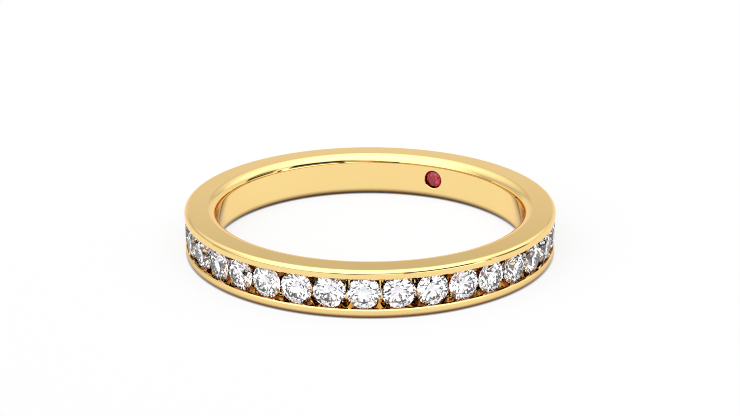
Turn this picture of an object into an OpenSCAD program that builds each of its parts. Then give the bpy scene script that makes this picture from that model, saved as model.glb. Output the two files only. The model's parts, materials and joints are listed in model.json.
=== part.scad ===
// Full eternity ring. A band of yellow gold holds a row of round brilliant stones in a channel
// that runs all the way round its outside, and one small red stone set flush in its inner wall.
// The ring lies on its side: the finger's axis is Z, and the band's lower side face is at Z = 0.
// The front of the ring faces -Y, and angles are counted from there towards +X.

/* [Finger] */
// Inside diameter of the band, which is the ring's size
finger_d = 17.0; // [15:0.1:22]

/* [Band] */
// Thickness of the wall, from the inside to the outside
wall_t = 1.8; // [1.8:0.05:2.4]
// Width of the band, along the finger
band_w = 2.55; // [2.4:0.05:3.4]
// Radius of the comfort rounding along the inner edges
inner_round = 0.55; // [0.2:0.05:0.7]
// Radius of the rounding along the outer edges
outer_round = 0.22; // [0.1:0.02:0.28]

/* [Channel] */
// Depth of the channel, from the outside of the band to its floor
channel_depth = 0.8; // [0.7:0.02:1.0]
// How far each side of the channel leans in on its way down from the stones' edges to the floor
side_lean = 0.275; // [0.15:0.005:0.35]
// Width of the bevel along each edge of the channel's mouth
bevel_w = 0.055; // [0.04:0.005:0.15]
// Depth of that bevel, below the outside of the band
bevel_depth = 0.055; // [0.04:0.005:0.15]
// How far the lip under the bevel reaches over the edge of a stone
lip_bite = 0.055; // [0.02:0.005:0.07]
// Gap between a stone and the metal round it
stone_clear = 0.02; // [0.01:0.005:0.03]

/* [Stones] */
// Diameter of each stone in the channel
stone_d = 1.7; // [1.5:0.05:1.75]
// Least gap between two neighbouring stones
stone_gap = 0.04; // [0.03:0.01:0.2]
// Depth of the tables of the stones below the outside of the band
table_drop = 0.02; // [0:0.01:0.08]
// Angle of the first stone of the row from the front of the ring, in degrees
first_stone_at = -1.7; // [-5:0.1:5]
// Turn of each stone in its seat against the stone before it, in degrees
stone_turn = 19; // [0:1:44]

/* [Cut of the stones] */
// Diameter of the table as a share of the stone's diameter
table_share = 0.57; // [0.53:0.01:0.62]
// Angle of the crown's main facets to the girdle, in degrees
crown_angle = 34.5; // [30:0.5:36]
// Angle of the pavilion's main facets to the girdle, in degrees
pavilion_angle = 40.8; // [39:0.2:42.4]
// Thickness of the girdle as a share of the stone's diameter
girdle_share = 0.03; // [0.025:0.005:0.045]
// Length of the star facets as a share of the way from the table to the girdle
star_share = 0.5; // [0.4:0.05:0.6]
// Length of the lower facets as a share of the way from the girdle to the point
lower_share = 0.78; // [0.7:0.02:0.86]

/* [Inner stone] */
// Diameter of the red stone in the inner wall
inner_stone_d = 1.06; // [0.8:0.02:1.1]
// The inner stone lies midway between this stone of the row, counted from 0, and the next
inner_stone_after = 15; // [0:1:30]
// Depth of the inner stone's table below the inner wall
inner_table_drop = 0.05; // [0.03:0.01:0.08]
// Width of the bevel round the hole of the inner stone
inner_bevel = 0.04; // [0.02:0.01:0.08]

/* [Hidden] */
// Outer and inner radius of the band, and the height of its middle plane
outer_r = finger_d / 2 + wall_t;
inner_r = finger_d / 2;
mid_z = band_w / 2;

// A brilliant cut has eight main facets, and four steps of the girdle for each of them
MAINS = 8;
STEPS = 4;
RIM = MAINS * STEPS;
main_step = 360 / MAINS;
rim_step = 360 / RIM;

// Heights of the parts of a stone of diameter d
function crown_h(d) = d / 2 * (1 - table_share) * tan(crown_angle);
function girdle_h(d) = d * girdle_share;
function pavilion_h(d) = d / 2 * tan(pavilion_angle);

// Radius of the row's girdles, and the number and pitch of the stones that fit round it
girdle_r = outer_r - table_drop - crown_h(stone_d) - girdle_h(stone_d) / 2;
stone_count = floor(180 / asin((stone_d + stone_gap) / (2 * girdle_r)));
pitch = 360 / stone_count;
culet_r = girdle_r - girdle_h(stone_d) / 2 - pavilion_h(stone_d);

// Section of the channel. A notch takes the girdles, with a lip over it, and below the notch
// the sides lean in to the floor and carry the stones on their upper edge
lip_half = stone_d / 2 - lip_bite;
mouth_half = lip_half + bevel_w;
notch_half = stone_d / 2 + stone_clear;
floor_half = notch_half - side_lean;
floor_r = outer_r - channel_depth;
crown_off = girdle_h(stone_d) / 2 + stone_clear / cos(crown_angle);
pavilion_off = girdle_h(stone_d) / 2 + stone_clear / cos(pavilion_angle);
lip_r = girdle_r + crown_off + lip_bite * tan(crown_angle);
notch_top_r = girdle_r + crown_off - stone_clear * tan(crown_angle);
notch_low_r = girdle_r - pavilion_off + stone_clear * tan(pavilion_angle);

// Seats drilled into the floor of the channel for the points of the stones
seat_tip_r = 0.03;
seat_clear = 0.06;
seat_lift = 0.1;
seat_h = floor_r + seat_lift - culet_r + seat_clear;
seat_top_r = seat_tip_r + seat_h / tan(pavilion_angle);
seat_sides = 48;

// Places along the radius that belong to the inner stone
inner_girdle_r = inner_r + inner_table_drop + crown_h(inner_stone_d) + girdle_h(inner_stone_d) / 2;
inner_culet_r = inner_girdle_r + girdle_h(inner_stone_d) / 2 + pavilion_h(inner_stone_d);
inner_hole_r = inner_stone_d / 2 + stone_clear;
inner_stone_at = first_stone_at + (inner_stone_after + 0.5) * pitch;

// How far a cut runs on past the surface that it opens, and the sides of a turned solid
over = 0.5;
turned_sides = 180;

function two_digits(n) = n < 10 ? str("0", n) : str(n);
function diamond_name(i) = str("diamond_", two_digits(i + 1));

// A point given by its radius and angle in a stone's own frame, and its height
function polar(r, a, z) = [r * cos(a), r * sin(a), z];

// Height at radius r of a facet that passes the two points [radius, height], seen edge on
function on_line(r, near, far) = near[1] + (r - near[0]) * (far[1] - near[1]) / (far[0] - near[0]);

// A round brilliant of diameter d: its girdle is centred on the origin and its table faces +Z.
// The rim's even corners lie on the girdle's edge. Each odd one lies where the planes of its
// crown and pavilion facets meet the rim, which scallops the girdle as cutting does.
module brilliant(d) {
    r = d / 2;
    half = girdle_h(d) / 2;
    table_z = half + crown_h(d);
    point_z = -half - pavilion_h(d);
    table_r = r * table_share;
    half_main = main_step / 2;

    star_r = (table_r + (r - table_r) * star_share) / cos(half_main);
    star_z = on_line(star_r * cos(half_main), [table_r, table_z], [r, half]);
    lower_r = r * (1 - lower_share) / cos(half_main);
    lower_z = on_line(lower_r * cos(half_main), [0, point_z], [r, -half]);

    flat_r = r * cos(rim_step);
    odd_top = on_line(r, [star_r * cos(rim_step), star_z], [flat_r, half]);
    odd_low = on_line(r, [lower_r * cos(rim_step), lower_z], [flat_r, -half]);

    points = concat(
        [for (k = [0 : MAINS - 1]) polar(table_r, k * main_step, table_z)],
        [for (k = [0 : MAINS - 1]) polar(star_r, k * main_step + half_main, star_z)],
        [for (j = [0 : RIM - 1]) polar(r, j * rim_step, j % 2 == 0 ? half : odd_top)],
        [for (j = [0 : RIM - 1]) polar(r, j * rim_step, j % 2 == 0 ? -half : odd_low)],
        [for (k = [0 : MAINS - 1]) polar(lower_r, k * main_step + half_main, lower_z)],
        [[0, 0, point_z]]
    );

    function table(k) = k % MAINS;
    function star(k) = MAINS + (k + MAINS) % MAINS;
    function top(j) = 2 * MAINS + j % RIM;
    function low(j) = 2 * MAINS + RIM + j % RIM;
    function lower(k) = 2 * MAINS + 2 * RIM + (k + MAINS) % MAINS;
    culet = 3 * MAINS + 2 * RIM;
    half_steps = STEPS / 2;

    faces = concat(
        [[for (k = [MAINS - 1 : -1 : 0]) table(k)]],
        [for (k = [0 : MAINS - 1]) [table(k), table(k + 1), star(k)]],
        [for (k = [0 : MAINS - 1]) [table(k), star(k), top(k * STEPS), star(k - 1)]],
        [for (k = [0 : MAINS - 1]) for (s = [0, half_steps])
            [star(k), top(k * STEPS + s + 2), top(k * STEPS + s + 1), top(k * STEPS + s)]],
        [for (j = [0 : RIM - 1]) [top(j), top(j + 1), low(j + 1), low(j)]],
        [for (k = [0 : MAINS - 1]) for (s = [0, half_steps])
            [lower(k), low(k * STEPS + s), low(k * STEPS + s + 1), low(k * STEPS + s + 2)]],
        [for (k = [0 : MAINS - 1]) [culet, lower(k - 1), low(k * STEPS), lower(k)]]
    );
    polyhedron(points, faces);
}

// Half of the channel's section on one side of the middle plane, as [radius, height] points
function channel_side(side) = [
    [outer_r + over, mid_z + side * mouth_half],
    [outer_r, mid_z + side * mouth_half],
    [outer_r - bevel_depth, mid_z + side * lip_half],
    [lip_r, mid_z + side * lip_half],
    [notch_top_r, mid_z + side * notch_half],
    [notch_low_r, mid_z + side * notch_half],
    [floor_r, mid_z + side * floor_half]
];
function reversed(list) = [for (i = [len(list) - 1 : -1 : 0]) list[i]];

module channel_section() {
    polygon(concat(channel_side(1), reversed(channel_side(-1))));
}

// Section of the band without its channel, with its four edges rounded
module band_section() {
    square_z = band_w - 2 * inner_round;
    translate([inner_r, inner_round])
        square([wall_t - outer_round, square_z]);
    translate([inner_r + inner_round, 0])
        square([wall_t - inner_round - outer_round, band_w]);
    translate([outer_r - outer_round - over / 2, outer_round])
        square([outer_round + over / 2, band_w - 2 * outer_round]);
    for (z = [inner_round, band_w - inner_round])
        translate([inner_r + inner_round, z])
            circle(inner_round, $fn = turned_sides);
    for (z = [outer_round, band_w - outer_round])
        translate([outer_r - outer_round, z])
            circle(outer_round, $fn = turned_sides);
}

// Places what it holds at an angle round the ring and a radius, with its +Z pointing outwards
module facing_out(angle, radius) {
    rotate([0, 0, angle])
        translate([0, -radius, mid_z])
            rotate([90, 0, 0])
                children();
}

// The same, with its +Z pointing at the finger
module facing_in(angle, radius) {
    rotate([0, 0, angle])
        translate([0, -radius, mid_z])
            rotate([-90, 0, 0])
                children();
}

// The cone that a stone's point sits in
module seat() {
    translate([0, 0, culet_r - seat_clear])
        cylinder(h = seat_h, r1 = seat_tip_r, r2 = seat_top_r, $fn = seat_sides);
}

// The hole of the inner stone: a bevel at the inner wall, a straight wall and a cone
module inner_seat() {
    straight_h = inner_girdle_r + girdle_h(inner_stone_d) / 2 + stone_clear - inner_r;
    cone_h = inner_culet_r + seat_clear - inner_r - straight_h;
    translate([0, 0, -straight_h])
        cylinder(h = straight_h + over, r = inner_hole_r, $fn = seat_sides);
    translate([0, 0, -straight_h - cone_h])
        cylinder(h = cone_h, r1 = seat_tip_r, r2 = inner_hole_r, $fn = seat_sides);
    translate([0, 0, -inner_bevel])
        cylinder(h = over, r1 = inner_hole_r, r2 = inner_hole_r + over, $fn = seat_sides);
}

module band() {
    color([0.93, 0.76, 0.42])
        difference() {
            rotate_extrude($fn = turned_sides)
                difference() {
                    band_section();
                    channel_section();
                }
            for (i = [0 : stone_count - 1])
                facing_out(first_stone_at + i * pitch, 0)
                    seat();
            facing_in(inner_stone_at, inner_r)
                inner_seat();
        }
}

module diamond(i) {
    color([0.94, 0.96, 0.98])
        facing_out(first_stone_at + i * pitch, girdle_r)
            rotate([0, 0, i * stone_turn])
                brilliant(stone_d);
}

module inner_stone() {
    color([0.76, 0.13, 0.27])
        facing_in(inner_stone_at, inner_girdle_r)
            brilliant(inner_stone_d);
}

band();
inner_stone();
for (i = [0 : stone_count - 1])
    diamond(i);
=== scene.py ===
"""The looks of a full eternity ring: a polished gold band, a row of cut stones in its channel
and a small red stone inside."""

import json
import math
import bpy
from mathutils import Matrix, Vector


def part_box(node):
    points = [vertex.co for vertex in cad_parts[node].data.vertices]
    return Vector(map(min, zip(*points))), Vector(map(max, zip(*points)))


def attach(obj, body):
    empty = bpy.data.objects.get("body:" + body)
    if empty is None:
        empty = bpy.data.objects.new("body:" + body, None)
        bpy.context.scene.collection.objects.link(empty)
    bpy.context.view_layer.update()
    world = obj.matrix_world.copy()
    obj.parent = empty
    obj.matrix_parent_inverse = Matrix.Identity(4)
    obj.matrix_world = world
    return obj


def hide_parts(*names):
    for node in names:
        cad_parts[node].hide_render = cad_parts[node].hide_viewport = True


bl_info = {
    "name": "Channel-set Ring",
    "version": (1, 0, 0),
    "blender": (4, 5, 0),
    "location": "View3D > Sidebar > Ring",
    "description": "Builds a channel-set wedding ring in polished gold, with its cut stones, and lights it",
    "category": "Object",
}

from collections import namedtuple

import bpy
from bpy.props import (
    FloatProperty,
    FloatVectorProperty,
    IntProperty,
    PointerProperty,
)
from mathutils import Vector

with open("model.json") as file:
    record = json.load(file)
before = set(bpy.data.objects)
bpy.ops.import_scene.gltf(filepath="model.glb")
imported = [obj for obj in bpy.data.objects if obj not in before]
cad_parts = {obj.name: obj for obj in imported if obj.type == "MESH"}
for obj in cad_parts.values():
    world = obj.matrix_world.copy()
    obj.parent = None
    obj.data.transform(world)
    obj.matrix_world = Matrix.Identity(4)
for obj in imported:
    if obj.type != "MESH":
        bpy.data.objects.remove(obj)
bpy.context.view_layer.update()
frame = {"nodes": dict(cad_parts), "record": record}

MM = 0.001
BODY = "root"
BAND_NODE = "band"
INNER_STONE_NODE = "inner_stone"
DIAMOND_NODES = sorted(name for name in frame["nodes"] if name.startswith("diamond_"))
FINGER_HOLE = next(m for m in frame["record"]["mounts"] if m["name"] == "finger_hole")
BAND_LOW, BAND_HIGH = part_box(BAND_NODE)


def length(name, description, default):
    """A length property, in metres as Blender holds it."""
    return FloatProperty(
        name=name, description=description, default=default, min=0.0, precision=5, unit="LENGTH"
    )


def angle(name, description, degrees):
    """An angle property, given in degrees."""
    return FloatProperty(
        name=name, description=description, default=math.radians(degrees), unit="ROTATION"
    )


def share(name, description, default):
    """A plain number from 0 to 1."""
    return FloatProperty(
        name=name, description=description, default=default, min=0.0, max=1.0, precision=3
    )


def colour(name, description, default):
    """A colour as linear red, green and blue."""
    return FloatVectorProperty(
        name=name, description=description, default=default, size=3, min=0.0, max=1.0, subtype="COLOR"
    )


class BandSizes(bpy.types.PropertyGroup):
    """Sizes of the gold band. Its three main ones come from the frame."""

    inner_radius: length("Inner radius", "Radius of the finger hole", FINGER_HOLE["dims"]["r_mm"] * MM)
    outer_radius: length("Outer radius", "Radius of the outside of the band", BAND_HIGH.x)
    width: length("Width", "Width of the band along the finger", BAND_HIGH.z - BAND_LOW.z)
    inner_rounding: length("Inner rounding", "Radius of the comfort rounding of the inner edges", 0.55 * MM)
    outer_rounding: length("Outer rounding", "Radius of the rounding of the outer edges", 0.22 * MM)
    channel_depth: length("Channel depth", "Depth of the channel below the outside", 0.8 * MM)
    side_lean: length("Side lean", "How far the channel's sides lean in towards its floor", 0.275 * MM)
    bevel_width: length("Bevel width", "Width of the bevel along the channel's mouth", 0.055 * MM)
    bevel_depth: length("Bevel depth", "Depth of that bevel below the outside", 0.055 * MM)
    lip_bite: length("Lip bite", "How far the lip reaches over the edge of a stone", 0.055 * MM)
    stone_clear: length("Stone clearance", "Gap between a stone and the metal", 0.02 * MM)
    seat_tip: length("Seat tip", "Radius at the bottom of each stone's seat", 0.03 * MM)
    seat_clear: length("Seat clearance", "Gap under the point of a stone", 0.06 * MM)
    edge_softness: length("Edge softness", "Radius that polishing gives to the channel's edges", 0.02 * MM)
    lip_softness: length("Lip softness", "Radius that polishing gives to the thin lip", 0.008 * MM)
    inner_bevel: length("Inner bevel", "Bevel round the hole of the inner stone", 0.02 * MM)
    columns: IntProperty(
        name="Columns per stone", description="Mesh columns for each stone of the row", default=12, min=12
    )
    rounding_steps: IntProperty(
        name="Rounding steps", description="Mesh steps along each inner rounding", default=24, min=6
    )


class StoneSizes(bpy.types.PropertyGroup):
    """Sizes of the cut stones and their places in the band."""

    diameter: length("Diameter", "Diameter of each stone in the channel", 1.7 * MM)
    table_drop: length("Table drop", "Depth of the tables below the outside of the band", 0.02 * MM)
    first_at: angle("First stone", "Angle of the first stone from the front of the ring", -1.7)
    table_share: share("Table", "Diameter of the table as a share of the stone's", 0.57)
    crown_angle: angle("Crown angle", "Angle of the crown's main facets to the girdle", 34.5)
    pavilion_angle: angle("Pavilion angle", "Angle of the pavilion's main facets to the girdle", 40.8)
    girdle_share: share("Girdle", "Thickness of the girdle as a share of the diameter", 0.03)
    inner_diameter: length("Inner diameter", "Diameter of the red stone in the inner wall", 1.06 * MM)
    inner_after: IntProperty(
        name="Inner stone after",
        description="The red stone lies midway between this stone of the row and the next",
        default=15,
        min=0,
    )
    inner_table_drop: length("Inner table drop", "Depth of the red stone's table below the wall", 0.05 * MM)


class GoldFinish(bpy.types.PropertyGroup):
    """Finish of the polished yellow gold."""

    base: colour("Gold", "Colour of the gold seen straight on", (0.97, 0.725, 0.31))
    deep: colour("Deeper gold", "Colour of the gold where the alloy is a trace redder", (0.96, 0.70, 0.29))
    grazing: colour("Grazing gold", "Tint of the gold seen at a shallow angle", (1.0, 0.87, 0.74))
    roughness_low: share("Polish, best", "Roughness where the polish is best", 0.015)
    roughness_high: share("Polish, worst", "Roughness where the polish is a little worn", 0.04)
    mark_depth: length("Mark depth", "Depth of the faint polishing marks", 0.00004 * MM)
    # Painted shade: the gold is browned and darkened where other surfaces stand close by, as in the
    # crevices round the stones
    painted_crevice_shade: colour("Crevice", "Colour of the gold in the crevices round the stones", (0.50, 0.21, 0.06))
    painted_shade_reach: length("Crevice reach", "How near other surfaces make a place a crevice", 0.35 * MM)
    painted_shade_full: share("Crevice, full", "Open share of the view from a place where it is darkest", 0.5)
    painted_shade_start: share("Crevice, start", "Open share of that view where the darkening starts", 0.95)


class StoneFinish(bpy.types.PropertyGroup):
    """Finish of the clear stones and of the red one."""

    diamond: colour("Diamond", "Colour of a clear stone", (0.98, 0.985, 1.0))
    # Painted fire: cool and lilac hints in the clear stones' colour stand in for the spectral flashes that
    # dispersion of light gives a diamond
    cool_painted_fire: colour("Cool fire", "Cool hint in a clear stone", (0.88, 0.93, 1.0))
    warm_painted_fire: colour("Warm fire", "Lilac hint in a clear stone", (0.97, 0.90, 1.0))
    # A little over diamond's own 2.42, which breaks the light up as finely as the photograph shows
    diamond_ior: FloatProperty(
        name="Clear stones' IOR",
        description="Index of refraction of the clear stones",
        default=2.65,
        min=1.0,
    )
    face_mirror: share("Face mirror", "Gloss of the stones' outer faces, where 1 is the full one", 0.7)
    red: colour("Red", "Colour of the red stone", (0.88, 0.045, 0.11))
    red_deep: colour("Deep red", "Darker patches of the red stone", (0.42, 0.01, 0.035))
    # Painted shade: a dark colour near the girdle stands in for the shade of the hole round the red stone
    red_painted_rim_shade: colour("Rim red", "Colour of the red stone near its girdle", (0.09, 0.005, 0.01))
    red_clarity: share("Red clarity", "How clear the red stone is; the rest scatters inside it", 0.75)
    red_ior: FloatProperty(
        name="Red stone IOR", description="Index of refraction of the red stone", default=1.77, min=1.0
    )


class StudioSettings(bpy.types.PropertyGroup):
    """The camera, the floor and the light tent."""

    camera_distance: length("Camera distance", "From the middle of the ring to the camera", 84.97 * MM)
    camera_elevation: angle("Camera elevation", "Height of the camera above the ring's plane", 20.37)
    camera_pitch: angle("Camera pitch", "How far the camera looks down", 19.795)
    lens: FloatProperty(name="Lens", description="Focal length on a 36 mm sensor", default=73.75, min=1.0)
    floor_radius: length("Floor radius", "Radius of the pale floor", 1.5)
    floor_drop: length("Floor drop", "Gap between the floor and the ring's lower face", 0.01 * MM)
    floor_tone: share("Floor tone", "How much light the pale floor gives back", 0.14)
    floor_glow: FloatProperty(
        name="Floor glow", description="Light that comes up through the pale floor", default=0.805, min=0.0
    )
    # Painted shadow: these reaches set how far round the ring the floor's glow is darkened
    painted_shadow_reach: length("Contact reach", "Reach of the ring's shade on the floor", 0.12 * MM)
    mirrored_painted_shadow_reach: length("Mirrored reach", "Reach of that shade as the gold mirrors it", 0.6 * MM)
    backdrop: FloatProperty(
        name="Backdrop", description="Brightness of the background seen straight", default=1.3, min=0.0
    )
    panel_count: FloatProperty(
        name="Panels",
        description="Panels to the length of the tent's radius, as the stones see them",
        default=5.0,
        min=0.5,
    )
    seam_width: share("Seam width", "Width of the seams between the panels, as a share of a panel", 0.045)
    seam_depth: share("Seam depth", "How dark the seams are", 1.0)
    stone_light: FloatProperty(
        name="Stone light",
        description="Brightness of the tent seen through the stones",
        default=1.9,
        min=0.0,
    )


def unit(x, y):
    """The direction (x, y) at length 1."""
    size = math.hypot(x, y)
    return x / size, y / size


def turned(angle_from_front, radius, height, tangent=0.0):
    """The point at a radius and an angle from the front of the ring, moved along the tangent."""
    s, c = math.sin(angle_from_front), math.cos(angle_from_front)
    return Vector((radius * s + tangent * c, -radius * c + tangent * s, height))


class Section:
    """A closed outline in radius and height, with a normal on each side of every point.

    The metal lies on the right of the way round. A corner may have a radius."""

    def __init__(self):
        self.corners = []
        self.points = []
        self.spans = {}

    def corner(self, radius, height, rounding=0.0, steps=1, straight=1, name=None):
        """Adds a corner, and says how the straight stretch after it is divided and named."""
        self.corners.append((Vector((radius, height)), rounding, steps, straight, name))

    def close(self):
        """Works out the points: rounded corners as arcs, and divided straight stretches."""
        count = len(self.corners)
        arcs = [self._arc(i) for i in range(count)]
        for i, arc in enumerate(arcs):
            self.points += arc
            _, _, _, straight, name = self.corners[i]
            start, _, normal = arc[-1]
            end = arcs[(i + 1) % count][0][0]
            first = len(self.points) - 1
            for k in range(1, straight):
                self.points.append((start.lerp(end, k / straight), normal, normal))
            if name:
                self.spans[name] = (first, first + straight)

    def _arc(self, i):
        """The points of corner i, each with its normal towards the point before and the one after."""
        count = len(self.corners)
        here, rounding, steps, _, _ = self.corners[i]
        before = (here - self.corners[i - 1][0]).normalized()
        after = (self.corners[(i + 1) % count][0] - here).normalized()
        normal_in, normal_out = Vector((-before.y, before.x)), Vector((-after.y, after.x))
        if rounding == 0.0:
            return [(here, normal_in, normal_out)]
        turn = math.atan2(before.cross(after), before.dot(after))
        outward = -1.0 if turn > 0.0 else 1.0
        reach = rounding * math.tan(abs(turn) / 2)
        centre = here - before * reach - outward * rounding * normal_in
        arc = []
        for k in range(steps + 1):
            part = turn * k / steps
            s, c = math.sin(part), math.cos(part)
            normal = Vector((normal_in.x * c - normal_in.y * s, normal_in.x * s + normal_in.y * c))
            arc.append((centre + outward * rounding * normal, normal, normal))
        return arc


class MeshDraft:
    """Points, faces and a normal for every corner of every face."""

    def __init__(self):
        self.points = []
        self.faces = []
        self.normals = []

    def point(self, position):
        self.points.append(position)
        return len(self.points) - 1

    def face(self, corners, normals):
        self.faces.append(corners)
        self.normals += normals

    def to_object(self, name):
        """Makes the mesh object, with the corners' own normals, and links it to the scene."""
        mesh = bpy.data.meshes.new(name)
        mesh.from_pydata(self.points, [], self.faces)
        mesh.polygons.foreach_set("use_smooth", [True] * len(mesh.polygons))
        mesh.normals_split_custom_set(self.normals)
        mesh.validate()
        obj = bpy.data.objects.new(name, mesh)
        bpy.context.scene.collection.objects.link(obj)
        return obj


class StonePlaces:
    """Slopes and radii of the row's stones, and the place of the inner one, from their cut."""

    def __init__(self, band, stones):
        self.crown = math.tan(stones.crown_angle)
        self.pavilion = math.tan(stones.pavilion_angle)
        radius = stones.diameter / 2
        self.half_girdle = stones.diameter * stones.girdle_share / 2
        table_r = band.outer_radius - stones.table_drop
        crown_h = radius * (1 - stones.table_share) * self.crown
        self.girdle_r = table_r - crown_h - self.half_girdle
        self.culet_r = self.girdle_r - self.half_girdle - radius * self.pavilion

        inner = stones.inner_diameter / 2
        inner_girdle = stones.inner_diameter * stones.girdle_share
        inner_crown = inner * (1 - stones.table_share) * self.crown
        self.inner_low_r = band.inner_radius + stones.inner_table_drop + inner_crown + inner_girdle
        self.inner_culet_r = self.inner_low_r + inner * self.pavilion
        self.inner_hole = inner + band.stone_clear

        pitch = math.tau / len(DIAMOND_NODES)
        self.inner_at = stones.first_at + (stones.inner_after + 0.5) * pitch


# Mesh steps across the channel's floor, the inner wall, a flat side and a softened edge
FLOOR_STEPS = 8
WALL_STEPS = 12
FLAT_STEPS = 4
SOFT_STEPS = 4


def band_section(band, stones, places):
    """The band's section: the comfort-rounded inner wall, two flat sides and the channel."""
    middle = band.width / 2
    lip = stones.diameter / 2 - band.lip_bite
    notch = stones.diameter / 2 + band.stone_clear
    floor = notch - band.side_lean
    over_crown = places.half_girdle + band.stone_clear / math.cos(stones.crown_angle)
    under_pavilion = places.half_girdle + band.stone_clear / math.cos(stones.pavilion_angle)
    lip_r = places.girdle_r + over_crown + band.lip_bite * places.crown
    notch_top_r = places.girdle_r + over_crown - band.stone_clear * places.crown
    notch_low_r = places.girdle_r - under_pavilion + band.stone_clear * places.pavilion
    floor_r = band.outer_radius - band.channel_depth
    outer_steps = band.rounding_steps * 3 // 5  # the outer roundings are smaller

    channel = [
        (band.outer_radius, lip + band.bevel_width, band.edge_softness, SOFT_STEPS),
        (band.outer_radius - band.bevel_depth, lip, band.edge_softness, SOFT_STEPS),
        (lip_r, lip, band.lip_softness, SOFT_STEPS),
        (notch_top_r, notch, 0.0, 1),
        (notch_low_r, notch, 0.0, 1),
        (floor_r, floor, band.edge_softness, SOFT_STEPS),
    ]
    section = Section()
    section.corner(
        band.inner_radius, 0.0, band.inner_rounding, band.rounding_steps, straight=WALL_STEPS, name="wall"
    )
    section.corner(
        band.inner_radius, band.width, band.inner_rounding, band.rounding_steps, straight=FLAT_STEPS
    )
    section.corner(band.outer_radius, band.width, band.outer_rounding, outer_steps)
    for radius, offset, softness, steps in channel[:-1]:
        section.corner(radius, middle + offset, softness, steps)
    radius, offset, softness, steps = channel[-1]
    section.corner(radius, middle + offset, softness, steps, straight=FLOOR_STEPS, name="floor")
    for radius, offset, softness, steps in reversed(channel):
        section.corner(radius, middle - offset, softness, steps)
    section.corner(band.outer_radius, 0.0, band.outer_rounding, outer_steps, straight=FLAT_STEPS)
    section.close()
    return section


def drill(draft, grid, section, span, columns, centre, rings, facing):
    """Fills a rectangle that the turned surface leaves open with a round hole.

    rings holds each step of the hole as its radius and its height above the surface. facing is
    1 where that surface looks away from the finger's axis, and -1 where it looks towards it."""
    low, high = span
    left, right = columns
    rim = [(i, left) for i in range(low, high)]
    rim += [(high, j) for j in range(left, right)]
    rim += [(i, right) for i in range(high, low, -1)]
    rim += [(low, j) for j in range(right, left, -1)]
    count = len(rim)
    wrap = len(grid[0])
    outer = [grid[i][j % wrap] for i, j in rim]
    surface_r = section.points[low][0].x
    middle = (section.points[low][0].y + section.points[high][0].y) / 2

    def bearing(index):
        p = draft.points[index]
        across = math.atan2(p.x, -p.y) - centre
        across = (across + math.pi) % math.tau - math.pi
        return math.atan2(p.z - middle, across * surface_r)

    bearings = [bearing(index) for index in outer]
    out = turned(centre, 1.0, 0.0)
    along = turned(centre, 0.0, 0.0, tangent=1.0)

    def radial(index):
        p = draft.points[index]
        return Vector((p.x, p.y, 0.0)).normalized() * facing

    loops = [outer]
    for number, (radius, rise) in enumerate(rings):
        loop = []
        for b in bearings:
            across = radius * math.cos(b)
            reach = surface_r + facing * rise
            if number == 0:
                reach = math.sqrt(surface_r**2 - across**2)
            up = Vector((0.0, 0.0, middle + radius * math.sin(b)))
            loop.append(draft.point(out * reach + along * across + up))
        loops.append(loop)

    for k in range(count):
        n = (k + 1) % count
        corners = (loops[0][k], loops[0][n], loops[1][n], loops[1][k])
        draft.face(corners, [radial(c) for c in corners])
    for number in range(1, len(rings)):
        (r0, h0), (r1, h1) = rings[number - 1], rings[number]
        towards_axis, outward = unit(h1 - h0, r0 - r1)
        for k in range(count):
            n = (k + 1) % count
            corners = (loops[number][k], loops[number][n], loops[number + 1][n], loops[number + 1][k])
            sides = []
            for b in (bearings[k], bearings[n], bearings[n], bearings[k]):
                side = along * math.cos(b) + Vector((0.0, 0.0, math.sin(b)))
                sides.append(side * towards_axis + out * facing * outward)
            draft.face(corners, sides)
    draft.face(tuple(loops[-1]), [out * facing] * count)


def turn_band(band, stones):
    """The band as one closed mesh: the section turned round the finger's axis, with its drilled seats."""
    places = StonePlaces(band, stones)
    section = band_section(band, stones, places)
    rows = len(section.points)
    wrap = len(DIAMOND_NODES) * band.columns
    step = math.tau / wrap
    draft = MeshDraft()
    grid = []
    for position, _, _ in section.points:
        row = [draft.point(turned(stones.first_at + j * step, position.x, position.y)) for j in range(wrap)]
        grid.append(row)

    # A seat's hole takes the middle two thirds of its stone's columns, and the inner hole all of one's
    seat_reach = band.columns // 3
    floor_low, floor_high = section.spans["floor"]
    wall_low, wall_high = section.spans["wall"]
    inner_column = round((places.inner_at - stones.first_at) / step)
    inner_reach = band.columns // 2
    open_cells = set()
    for k in range(len(DIAMOND_NODES)):
        for j in range(k * band.columns - seat_reach, k * band.columns + seat_reach):
            open_cells.update((i, j % wrap) for i in range(floor_low, floor_high))
    for j in range(inner_column - inner_reach, inner_column + inner_reach):
        open_cells.update((i, j % wrap) for i in range(wall_low, wall_high))

    def spun(normal, j):
        return turned(stones.first_at + j * step, normal.x, normal.y)

    for i in range(rows):
        n = (i + 1) % rows
        start, end = section.points[i][2], section.points[n][1]
        for j in range(wrap):
            if (i, j) in open_cells:
                continue
            m = (j + 1) % wrap
            corners = (grid[i][j], grid[n][j], grid[n][m], grid[i][m])
            draft.face(corners, [spun(start, j), spun(end, j), spun(end, m), spun(start, m)])

    floor_r = band.outer_radius - band.channel_depth
    seat_bottom = places.culet_r - band.seat_clear - floor_r
    seat_top = band.seat_tip - seat_bottom / places.pavilion
    for k in range(len(DIAMOND_NODES)):
        centre = k * band.columns
        drill(
            draft,
            grid,
            section,
            (floor_low, floor_high),
            (centre - seat_reach, centre + seat_reach),
            stones.first_at + centre * step,
            [(seat_top, 0.0), (band.seat_tip, seat_bottom)],
            facing=1.0,
        )
    straight_end = band.inner_radius - places.inner_low_r - band.stone_clear
    cone_end = band.inner_radius - places.inner_culet_r - band.seat_clear
    drill(
        draft,
        grid,
        section,
        (wall_low, wall_high),
        (inner_column - inner_reach, inner_column + inner_reach),
        places.inner_at,
        [
            (places.inner_hole + band.inner_bevel, 0.0),
            (places.inner_hole, -band.inner_bevel),
            (places.inner_hole, straight_end),
            (band.seat_tip, cone_end),
        ],
        facing=-1.0,
    )
    return draft


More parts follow.
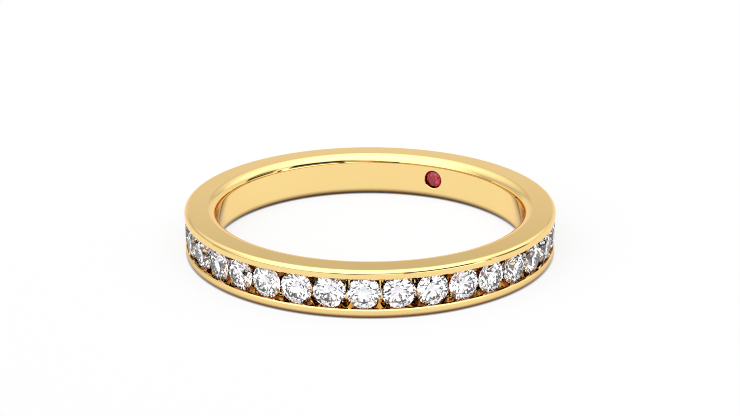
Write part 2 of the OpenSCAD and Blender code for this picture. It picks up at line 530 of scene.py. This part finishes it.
class NodeSheet:
    """A small helper that adds nodes to a tree and links them."""

    def __init__(self, tree):
        tree.nodes.clear()
        self.tree = tree

    def add(self, kind, settings=None, **inputs):
        """A node of a kind, with its settings, and its inputs by name as numbers, colours or links."""
        node = self.tree.nodes.new(kind)
        for key, value in (settings or {}).items():
            setattr(node, key, value)
        for key, value in inputs.items():
            self.feed(node.inputs[key.replace("_", " ")], value)
        return node

    def feed(self, socket, value):
        if isinstance(value, bpy.types.NodeSocket):
            self.tree.links.new(value, socket)
        else:
            socket.default_value = value

    def maths(self, operation, *values):
        """The result of a Math node."""
        node = self.add("ShaderNodeMath", {"operation": operation})
        for socket, value in zip(node.inputs, values):
            self.feed(socket, value)
        return node.outputs[0]

    def remap(self, value, low, high, to_low=0.0, to_high=1.0, smooth=False):
        """value from low..high to to_low..to_high, held at both ends."""
        node = self.add("ShaderNodeMapRange", {"interpolation_type": "SMOOTHSTEP" if smooth else "LINEAR"})
        for name, number in (
            ("Value", value),
            ("From Min", low),
            ("From Max", high),
            ("To Min", to_low),
            ("To Max", to_high),
        ):
            self.feed(node.inputs[name], number)
        return node.outputs[0]

    def ramp(self, value, stops):
        """A straight-lined ramp through stops, each a place and a grey from 0 to 1."""
        node = self.add("ShaderNodeValToRGB")
        self.feed(node.inputs[0], value)
        line = node.color_ramp
        line.interpolation = "LINEAR"
        while len(line.elements) < len(stops):
            line.elements.new(1.0)
        for element, (place, grey) in zip(line.elements, stops):
            element.position = place
            element.color = (grey, grey, grey, 1.0)
        return node.outputs["Color"]

    def mix(self, factor, a, b):
        """A colour from a to b by factor."""
        node = self.add("ShaderNodeMix", {"data_type": "RGBA"})
        self.feed(node.inputs[0], factor)
        for socket, value in ((node.inputs[6], a), (node.inputs[7], b)):
            self.feed(socket, value if isinstance(value, bpy.types.NodeSocket) else (*value, 1.0))
        return node.outputs[2]

    def span(self, a, b):
        """The length of the vector (a, b)."""
        squares = [self.maths("POWER", self.maths("ABSOLUTE", side), 2.0) for side in (a, b)]
        return self.maths("SQRT", self.maths("ADD", *squares))

    def noise(self, vector, scale, detail=2.0, roughness=0.5):
        """The height of a noise texture."""
        sizes = {"Scale": scale, "Detail": detail, "Roughness": roughness}
        return self.add("ShaderNodeTexNoise", Vector=vector, **sizes).outputs["Fac"]


def new_material(name):
    """An empty node material and the sheet of its nodes."""
    material = bpy.data.materials.new(name)
    material.use_nodes = True
    return material, NodeSheet(material.node_tree)


# Patches to the metre: of the alloy's tone, of the wear in the polish and of the polishing marks
TONE_SCALE = 180.0
WEAR_SCALE = 900.0
MARK_SCALE = 26000.0
MARK_TURN = 0.0004  # metres that a mark's pattern moves on for each radian round the band
MARK_STRENGTH = 0.4

# Heights of the noise between which the tone, the wear and the floor's grain change
TONE_SPREAD = (0.35, 0.65)
WEAR_SPREAD = (0.35, 0.7)
GRAIN_SPREAD = (0.3, 0.7)

SHADE_SAMPLES = 8  # looks taken round a place to see how open it is


def gold_material(finish):
    """Mirror-polished yellow gold, with a trace of tone, a little wear in the polish and faint marks.

    It has painted shade: it is browner and darker in the crevices round the stones, where other surfaces
    stand close by and shade falls."""
    material, sheet = new_material("polished_yellow_gold")
    place = sheet.add("ShaderNodeTexCoord").outputs["Object"]
    tone = sheet.remap(sheet.noise(place, TONE_SCALE, detail=3.0), *TONE_SPREAD)
    base = sheet.mix(tone, tuple(finish.base), tuple(finish.deep))
    reach = finish.painted_shade_reach
    # Painted shade: the more closed in a place is, the browner and darker the gold is made there
    view = sheet.add("ShaderNodeAmbientOcclusion", {"samples": SHADE_SAMPLES}, Distance=reach)
    painted_shade_mask = sheet.remap(view.outputs["AO"], finish.painted_shade_full, finish.painted_shade_start)
    base = sheet.mix(painted_shade_mask, tuple(finish.painted_crevice_shade), base)
    wear = sheet.noise(place, WEAR_SCALE, detail=4.0, roughness=0.6)
    roughness = sheet.remap(wear, *WEAR_SPREAD, finish.roughness_low, finish.roughness_high)

    # The marks run round the finger's axis: they change fast along the radius and the height
    x, y, z = sheet.add("ShaderNodeSeparateXYZ", Vector=place).outputs
    round_band = sheet.maths("MULTIPLY", sheet.maths("ARCTAN2", x, y), MARK_TURN)
    rolled = sheet.add("ShaderNodeCombineXYZ", X=sheet.span(x, y), Y=round_band, Z=z)
    marks = sheet.noise(rolled.outputs[0], MARK_SCALE, detail=2.0)
    bump = sheet.add(
        "ShaderNodeBump", Strength=MARK_STRENGTH, Distance=finish.mark_depth, Height=marks
    )

    shader = sheet.add("ShaderNodeBsdfPrincipled", Base_Color=base, Roughness=roughness, Metallic=1.0)
    shader.inputs["Specular Tint"].default_value = (*finish.grazing, 1.0)
    sheet.feed(shader.inputs["Normal"], bump.outputs[0])
    output = sheet.add("ShaderNodeOutputMaterial")
    sheet.feed(output.inputs["Surface"], shader.outputs[0])
    return material


# Where the red stone's painted rim shade, a darkening near its girdle in place of the shade of its hole,
# starts and where it is full, as shares of the stone's radius
RIM_SHADE_START = 0.78
RIM_SHADE_FULL = 0.92

# Patches to the metre of the hints of colour in the stones: painted fire in the clear ones, darker patches
# in the red one
DIAMOND_PAINTED_FIRE_SCALE = 2600.0
RED_HINTS = 4200.0

# A patch's chance number at which it starts to take a hint of colour, and at which the hint is full
HINT_SPREAD = (0.55, 0.95)


def painted_rim_shade_share(sheet, place, bearing, middle, radius):
    """How near a place in a stone lies to its girdle, from 0 to 1, measured from the stone's axis: the mask
    of the red stone's painted rim shade.
    """
    along = turned(bearing, 0.0, 0.0, tangent=1.0)
    across = sheet.add("ShaderNodeVectorMath", {"operation": "DOT_PRODUCT"})
    sheet.feed(across.inputs[0], place)
    sheet.feed(across.inputs[1], along)
    up = sheet.maths("SUBTRACT", sheet.add("ShaderNodeSeparateXYZ", Vector=place).outputs[2], middle)
    from_axis = sheet.span(across.outputs["Value"], up)
    return sheet.remap(from_axis, RIM_SHADE_START * radius, RIM_SHADE_FULL * radius)


def stone_material(name, base, hints, scale, ior, gloss, clarity=1.0, rim=None):
    """A clear cut stone. Faint hints of colour change from one part of it to the next: painted fire in a
    clear stone, darker patches in the red one.

    rim, if given, is its painted shade near the girdle: the colour of that shade, its bearing, its height
    and its radius."""
    material, sheet = new_material(name)
    place = sheet.add("ShaderNodeTexCoord").outputs["Object"]
    cells = sheet.add("ShaderNodeTexVoronoi", {"feature": "F1"}, Vector=place, Scale=scale)
    chance = sheet.add("ShaderNodeSeparateColor", Color=cells.outputs["Color"])
    tint = sheet.mix(sheet.remap(chance.outputs[0], *HINT_SPREAD), tuple(base), tuple(hints[0]))
    tint = sheet.mix(sheet.remap(chance.outputs[1], *HINT_SPREAD), tint, tuple(hints[1]))
    # Painted shade: the stone is darkened near its girdle, where its hole shades it
    if rim:
        painted_rim_shade, *girdle = rim
        tint = sheet.mix(painted_rim_shade_share(sheet, place, *girdle), tint, tuple(painted_rim_shade))
    shader = sheet.add("ShaderNodeBsdfPrincipled", Base_Color=tint, Roughness=0.0, IOR=ior)
    shader.inputs["Transmission Weight"].default_value = clarity
    shader.inputs["Specular Tint"].default_value = (gloss, gloss, gloss, 1.0)
    output = sheet.add("ShaderNodeOutputMaterial")
    sheet.feed(output.inputs["Surface"], shader.outputs[0])
    return material


def dress(obj, material):
    """Gives an object one material."""
    obj.data.materials.clear()
    obj.data.materials.append(material)


def cad_part(name):
    """The frame's object of a CAD part, or an error if the frame has none."""
    if name not in frame["nodes"]:
        raise RuntimeError(f"The frame has no part named {name}")
    return frame["nodes"][name]


class RING_OT_band(bpy.types.Operator):
    """Turns the gold band, with its channel and the drilled seats of the stones"""

    bl_idname = "ring.band"
    bl_label = "Band"
    bl_options = {"REGISTER", "UNDO"}

    def execute(self, context):
        scene = context.scene
        cad_part(BAND_NODE)
        piece = turn_band(scene.ring_band, scene.ring_stones).to_object("gold_band")
        dress(piece, gold_material(scene.ring_gold))
        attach(piece, BODY)
        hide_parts(BAND_NODE)
        return {"FINISHED"}


class RING_OT_diamonds(bpy.types.Operator):
    """Finishes the row of brilliant-cut stones in the channel"""

    bl_idname = "ring.diamonds"
    bl_label = "Diamonds"
    bl_options = {"REGISTER", "UNDO"}

    def execute(self, context):
        if not DIAMOND_NODES:
            raise RuntimeError("The frame has no stones for the channel")
        finish = context.scene.ring_finish
        # Painted fire: the clear stones take fixed cool and lilac hints in place of dispersion
        hints = (finish.cool_painted_fire, finish.warm_painted_fire)
        cut = (DIAMOND_PAINTED_FIRE_SCALE, finish.diamond_ior, finish.face_mirror)
        material = stone_material("clear_diamond", finish.diamond, hints, *cut)
        for name in DIAMOND_NODES:
            dress(cad_part(name), material)
        return {"FINISHED"}


class RING_OT_inner_stone(bpy.types.Operator):
    """Finishes the small red stone in the inner wall"""

    bl_idname = "ring.inner_stone"
    bl_label = "Inner stone"
    bl_options = {"REGISTER", "UNDO"}

    def execute(self, context):
        scene = context.scene
        finish, band, stones = scene.ring_finish, scene.ring_band, scene.ring_stones
        hints = (finish.red_deep, finish.red)
        places = StonePlaces(band, stones)
        # The rim is the red stone's painted shade near its girdle
        rim = (finish.red_painted_rim_shade, places.inner_at, band.width / 2, stones.inner_diameter / 2)
        cut = (RED_HINTS, finish.red_ior, finish.face_mirror)
        material = stone_material("red_gem", finish.red, hints, *cut, finish.red_clarity, rim)
        dress(cad_part(INNER_STONE_NODE), material)
        return {"FINISHED"}


STAGE_SIDES = 96
STAGE_GRAIN = 40.0  # patches to the metre of the floor's slight unevenness
GRAIN_DIP = 0.99  # tone of the floor's darkest patches, as a share of its lightest


def floor_object(radius, drop):
    """A round floor as one mesh, a fan of triangles, a hair under the ring."""
    rim = [turned(math.tau * k / STAGE_SIDES, radius, 0.0) for k in range(STAGE_SIDES)]
    fan = [(0, k + 1, (k + 1) % STAGE_SIDES + 1) for k in range(STAGE_SIDES)]
    mesh = bpy.data.meshes.new("floor")
    mesh.from_pydata([(0.0, 0.0, 0.0), *rim], [], fan)
    obj = bpy.data.objects.new("floor", mesh)
    obj.location.z = -drop
    bpy.context.scene.collection.objects.link(obj)
    return obj


def floor_material(studio):
    """Matt white acrylic, softly lit from below, with a trace of unevenness.

    The ring's shadow on its glow is painted from how closed in each place is: narrow where the camera sees
    it and wider to all other light."""
    material, sheet = new_material("pale_floor")
    place = sheet.add("ShaderNodeTexCoord").outputs["Object"]
    tone = studio.floor_tone
    patches = sheet.noise(place, STAGE_GRAIN, detail=3.0)
    grain = sheet.remap(patches, *GRAIN_SPREAD, tone * GRAIN_DIP, tone)
    matt = sheet.add("ShaderNodeBsdfDiffuse", Color=grain, Roughness=1.0)
    straight = sheet.add("ShaderNodeLightPath").outputs["Is Camera Ray"]
    reach = sheet.remap(straight, 0.0, 1.0, studio.mirrored_painted_shadow_reach, studio.painted_shadow_reach)
    # Painted shadow: the floor's glow is darkened where the ring closes a place in
    near = sheet.add("ShaderNodeAmbientOcclusion", {"samples": SHADE_SAMPLES}, Distance=reach)
    glow_with_painted_shadow = sheet.maths("MULTIPLY", near.outputs["AO"], studio.floor_glow)
    glow = sheet.add("ShaderNodeEmission", Color=(1.0, 1.0, 1.0, 1.0), Strength=glow_with_painted_shadow)
    both = sheet.add("ShaderNodeAddShader")
    sheet.feed(both.inputs[0], matt.outputs[0])
    sheet.feed(both.inputs[1], glow.outputs[0])
    output = sheet.add("ShaderNodeOutputMaterial")
    sheet.feed(output.inputs["Surface"], both.outputs[0])
    return material


# Light of the tent by height in degrees: in front of the ring and behind it
FRONT_LIGHT = [(0, 1.3), (8, 1.4), (20, 1.65), (40, 2.0), (60, 2.3)]
FAR_LIGHT = [
    (0, 0.9),
    (5, 0.95),
    (16, 0.91),
    (19, 0.82),
    (22, 0.66),
    (26, 0.8),
    (30, 0.92),
    (36, 1.08),
    (45, 1.3),
    (60, 1.9),
]
FAR_BEARINGS = (62.0, 100.0)
TOP_HEIGHT = 60.0
TOP_LIGHT = 2.3

# Cards hung in the tent. Bearing, height and half sizes are in degrees, and so is the soft edge.
# A bright card adds its amount of light, and a dark one takes that share away
Card = namedtuple("Card", "bearing height half_width half_height slant soft amount")
DARK_CARDS = {
    "arm": Card(43, 20, 23, 13, 0.06, 2.0, 0.99),
    "arm_top": Card(42, 32, 34, 8, 0.0, 6.0, 0.5),
    "arm_tip": Card(6, 13, 15, 6, 0.1, 2.5, 0.8),
    "arm_haze": Card(8, 23, 13, 7, 0.0, 4.0, 0.45),
    "leg": Card(21.5, 6, 2.2, 10, 0.0, 1.0, 0.97),
    "flag": Card(94, 17, 14, 9.5, -0.15, 2.5, 0.96),
    "flag_top": Card(90, 26, 13, 6, -0.3, 5.0, 0.4),
    "flag_leg": Card(74, 8, 2.3, 9, 0.0, 1.0, 0.9),
    "stand": Card(-15, 7.5, 8, 8.5, 0.0, 2.0, 0.95),
    "stand_side": Card(-7, 7, 5, 7.5, 0.5, 2.0, 0.65),
    "stand_haze": Card(-27, 3, 7, 6, 0.0, 4.0, 0.5),
    "left_shade": Card(-122, 14, 30, 7, 0.0, 5.0, 0.26),
    "skirt": Card(-62, 3, 44, 4.5, 0.0, 1.5, 0.8),
}
BRIGHT_CARDS = {
    "low_panel": Card(47, 4, 22, 7, 0.1, 2.0, 1.2),
    "front_panel": Card(10, 4, 9, 5, 0.0, 2.0, 0.6),
    "right_box": Card(126, 33, 22, 12, 0.0, 5.0, 0.35),
}
# Slim gaps in the dark cards, where at least their amount of the tent's light shows through
CARD_GAPS = (Card(30, 15, 38, 1.8, 0.0, 0.5, 0.55), Card(100, 20, 26, 1.9, 0.0, 0.5, 0.5))

SEAM_EDGE = 1.5  # where a seam has faded out, as a multiple of its width


def hang_card(sheet, bearing, height, card):
    """The card's amount in a direction that lies on it, falling to 0 over its soft edge."""
    across = sheet.maths("SUBTRACT", bearing, float(card.bearing))
    lean = sheet.maths("MULTIPLY", across, card.slant)
    up = sheet.maths("SUBTRACT", sheet.maths("SUBTRACT", height, float(card.height)), lean)
    masks = []
    for distance, half in ((across, card.half_width), (up, card.half_height)):
        off = sheet.maths("ABSOLUTE", distance)
        masks.append(sheet.remap(off, half - card.soft, half + card.soft, 1.0, 0.0, smooth=True))
    return sheet.maths("MULTIPLY", sheet.maths("MULTIPLY", *masks), card.amount)


def light_tent(studio):
    """World light: a soft tent, bright overhead, with the dark and bright cards that the gold mirrors."""
    world = bpy.data.worlds.new("light_tent")
    world.use_nodes = True
    sheet = NodeSheet(world.node_tree)
    direction = sheet.add("ShaderNodeTexCoord").outputs["Generated"]
    way = sheet.add("ShaderNodeSeparateXYZ", Vector=direction)
    height = sheet.maths("DEGREES", sheet.maths("ARCSINE", way.outputs[2]))
    front = sheet.maths("MULTIPLY", way.outputs[1], -1.0)
    bearing = sheet.maths("DEGREES", sheet.maths("ARCTAN2", way.outputs[0], front))
    level = sheet.remap(height, 0.0, TOP_HEIGHT)
    near, far = (
        sheet.ramp(level, [(h / TOP_HEIGHT, light / TOP_LIGHT) for h, light in lights])
        for lights in (FRONT_LIGHT, FAR_LIGHT)
    )
    behind = sheet.remap(sheet.maths("ABSOLUTE", bearing), *FAR_BEARINGS, smooth=True)
    light = sheet.maths("MULTIPLY", sheet.mix(behind, near, far), TOP_LIGHT)
    for card in BRIGHT_CARDS.values():
        light = sheet.maths("ADD", light, hang_card(sheet, bearing, height, card))
    for card in DARK_CARDS.values():
        passed = sheet.maths("SUBTRACT", 1.0, hang_card(sheet, bearing, height, card))
        light = sheet.maths("MULTIPLY", light, passed)
    for gap in CARD_GAPS:
        light = sheet.maths("MAXIMUM", light, hang_card(sheet, bearing, height, gap))

    # Only what is seen straight through a stone meets these: even bright panels in place of the
    # cards, with fine dark seams between them that give the stones their dark lines
    rays = sheet.add("ShaderNodeLightPath").outputs
    panels = sheet.add("ShaderNodeTexVoronoi", {"feature": "DISTANCE_TO_EDGE"}, Vector=direction)
    sheet.feed(panels.inputs["Scale"], studio.panel_count)
    edges = (studio.seam_width, studio.seam_width * SEAM_EDGE)
    seams = sheet.remap(panels.outputs["Distance"], *edges, 1.0 - studio.seam_depth, 1.0)
    through = sheet.maths("MULTIPLY", seams, studio.stone_light)
    light = sheet.mix(rays["Is Transmission Ray"], light, through)
    glow = sheet.add("ShaderNodeBackground", Color=(1.0, 1.0, 1.0, 1.0), Strength=light)

    # The camera itself sees a plain pale background
    plain = sheet.add("ShaderNodeBackground", Color=(1.0, 1.0, 1.0, 1.0), Strength=studio.backdrop)
    both = sheet.add("ShaderNodeMixShader")
    sheet.feed(both.inputs[0], rays["Is Camera Ray"])
    sheet.feed(both.inputs[1], glow.outputs[0])
    sheet.feed(both.inputs[2], plain.outputs[0])
    output = sheet.add("ShaderNodeOutputWorld")
    sheet.feed(output.inputs["Surface"], both.outputs[0])
    return world


SENSOR_WIDTH = 36.0  # in mm, as a lens's focal length is
NEAREST_SEEN = 0.001
FARTHEST_SEEN = 100.0


def place_camera(studio, middle):
    """The camera stands in front of the ring and looks down on it, as in the photograph."""
    data = bpy.data.cameras.new("camera")
    data.lens = studio.lens
    data.sensor_width = SENSOR_WIDTH
    data.clip_start = NEAREST_SEEN
    data.clip_end = FARTHEST_SEEN
    camera = bpy.data.objects.new("camera", data)
    bpy.context.scene.collection.objects.link(camera)
    up, back = math.sin(studio.camera_elevation), math.cos(studio.camera_elevation)
    camera.location = middle + Vector((0.0, -studio.camera_distance * back, studio.camera_distance * up))
    camera.rotation_euler = (math.pi / 2 - studio.camera_pitch, 0.0, 0.0)
    bpy.context.scene.camera = camera


# How often light may turn: in all, through the stones' surfaces and off the gold. The few
# passes through the stones give them their crisp dark facets
ALL_TURNS = 10
STONE_TURNS = 2
GOLD_TURNS = 6
PIXEL_FILTER = 1.1  # width in pixels, a little sharper than usual


class RING_OT_stage(bpy.types.Operator):
    """Sets the pale floor, the soft light and the camera"""

    bl_idname = "ring.stage"
    bl_label = "Stage"
    bl_options = {"REGISTER", "UNDO"}

    def execute(self, context):
        scene = context.scene
        studio = scene.ring_studio
        floor = floor_object(studio.floor_radius, studio.floor_drop)
        dress(floor, floor_material(studio))
        scene.world = light_tent(studio)
        place_camera(studio, Vector((0.0, 0.0, scene.ring_band.width / 2)))
        scene.view_settings.view_transform = "Standard"
        scene.cycles.max_bounces = ALL_TURNS
        scene.cycles.transmission_bounces = STONE_TURNS
        scene.cycles.glossy_bounces = GOLD_TURNS
        scene.cycles.filter_width = PIXEL_FILTER
        return {"FINISHED"}


class RING_PT_panel(bpy.types.Panel):
    """Lists the steps that make the ring"""

    bl_idname = "RING_PT_panel"
    bl_label = "Ring"
    bl_space_type = "VIEW_3D"
    bl_region_type = "UI"
    bl_category = "Ring"

    def draw(self, context):
        for step in STEPS:
            self.layout.operator(step.bl_idname)


STEPS = (RING_OT_band, RING_OT_diamonds, RING_OT_inner_stone, RING_OT_stage)
GROUPS = {
    "ring_band": BandSizes,
    "ring_stones": StoneSizes,
    "ring_gold": GoldFinish,
    "ring_finish": StoneFinish,
    "ring_studio": StudioSettings,
}
CLASSES = (*GROUPS.values(), *STEPS, RING_PT_panel)


def register():
    for cls in CLASSES:
        bpy.utils.register_class(cls)
    for name, group in GROUPS.items():
        setattr(bpy.types.Scene, name, PointerProperty(type=group))


def unregister():
    for name in GROUPS:
        delattr(bpy.types.Scene, name)
    for cls in reversed(CLASSES):
        bpy.utils.unregister_class(cls)


def main():
    """Makes the ring and its stage."""
    register()
    bpy.ops.ring.band()
    bpy.ops.ring.diamonds()
    bpy.ops.ring.inner_stone()
    bpy.ops.ring.stage()


if __name__ == "__main__":
    main()
